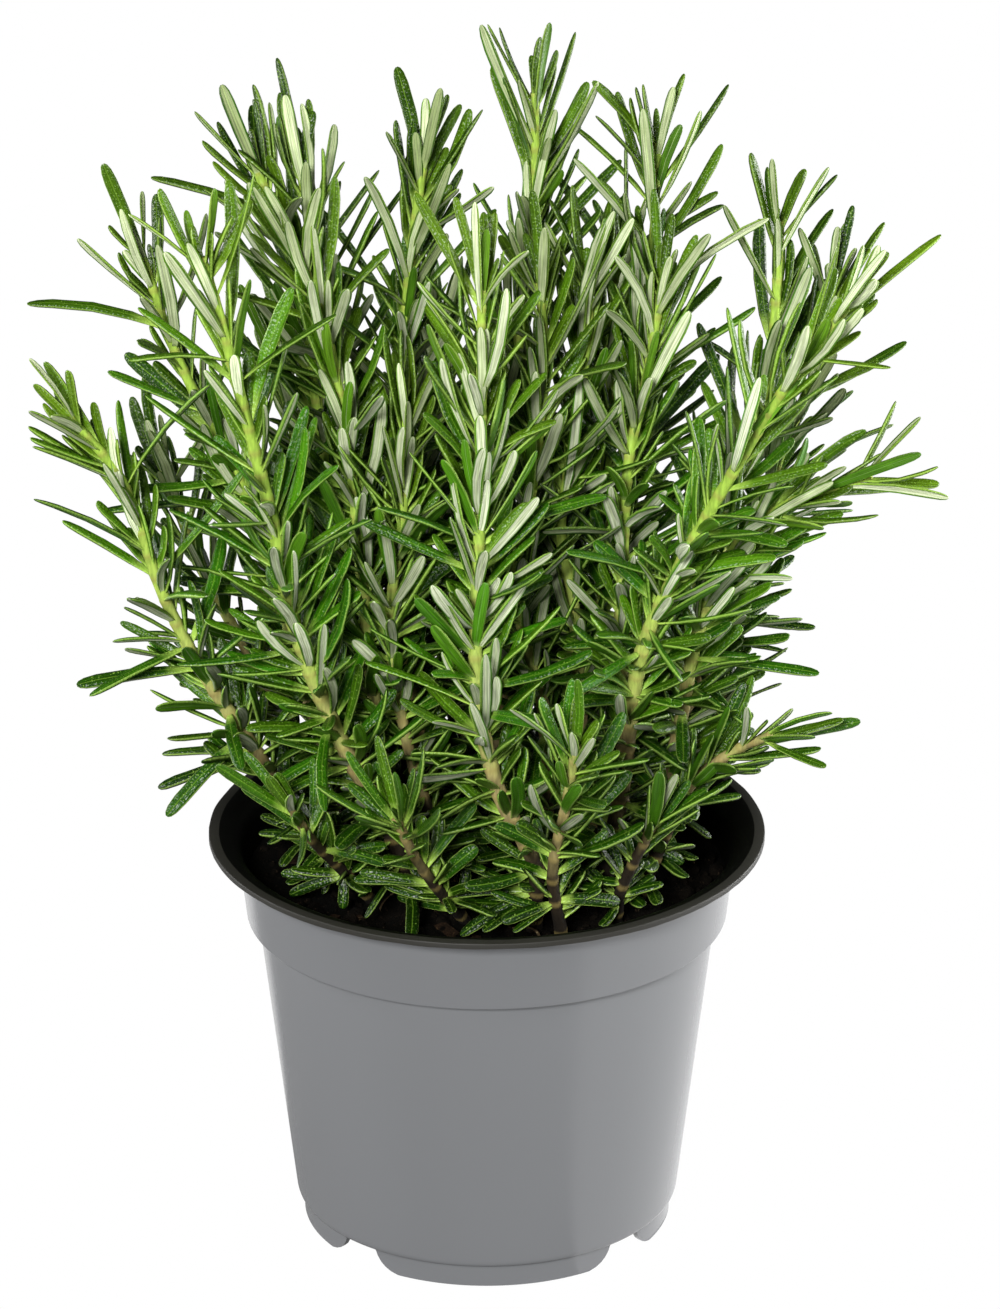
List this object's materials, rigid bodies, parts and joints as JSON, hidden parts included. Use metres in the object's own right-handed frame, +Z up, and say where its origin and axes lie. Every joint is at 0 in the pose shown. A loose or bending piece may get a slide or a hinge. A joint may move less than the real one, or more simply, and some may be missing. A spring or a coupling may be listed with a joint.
{
  "type": "potted rosemary plant",
  "caption": "Bushy rosemary plant with many upright leafy stems, rooted in soil in a round tapered plastic nursery pot.",
  "frame": {"origin": "on the pot's axis, at the level of the surface that its feet stand on", "axes": "+Z up; -Y towards the front that the picture shows; +X to the right of it"},
  "size_m": [0.2051, 0.1414, 0.2856],
  "materials": {
    "pot": "semi-gloss moulded grey plastic, black inside and on the rim",
    "soil": "damp dark potting soil, rough",
    "foliage": "leathery green leaves on pale green stems, satin"
  },
  "bodies": {
    "root": {"pot": "pot", "soil": "soil", "stem_back_left_high": "foliage", "stem_back_left_inner": "foliage", "stem_back_left_spray": "foliage", "stem_back_low_left": "foliage", "stem_back_low_right": "foliage", "stem_back_right_inner": "foliage", "stem_back_right_spray": "foliage", "stem_back_spray": "foliage", "stem_centre_back": "foliage", "stem_centre_inner": "foliage", "stem_centre_left": "foliage", "stem_centre_right": "foliage", "stem_centre_sprig": "foliage", "stem_far_right_spray": "foliage", "stem_front_left_low": "foliage", "stem_front_left_main": "foliage", "stem_front_low": "foliage", "stem_front_main": "foliage", "stem_front_right_main": "foliage", "stem_front_right_sprig": "foliage", "stem_front_sprig": "foliage", "stem_left_back_spray": "foliage", "stem_left_outer": "foliage", "stem_left_upper": "foliage", "stem_right_back": "foliage", "stem_right_back_low": "foliage", "stem_right_high": "foliage", "stem_right_inner": "foliage", "stem_right_low": "foliage", "stem_right_low_back": "foliage", "stem_right_upper": "foliage", "stem_top_centre": "foliage"}
  },
  "joints": []
}
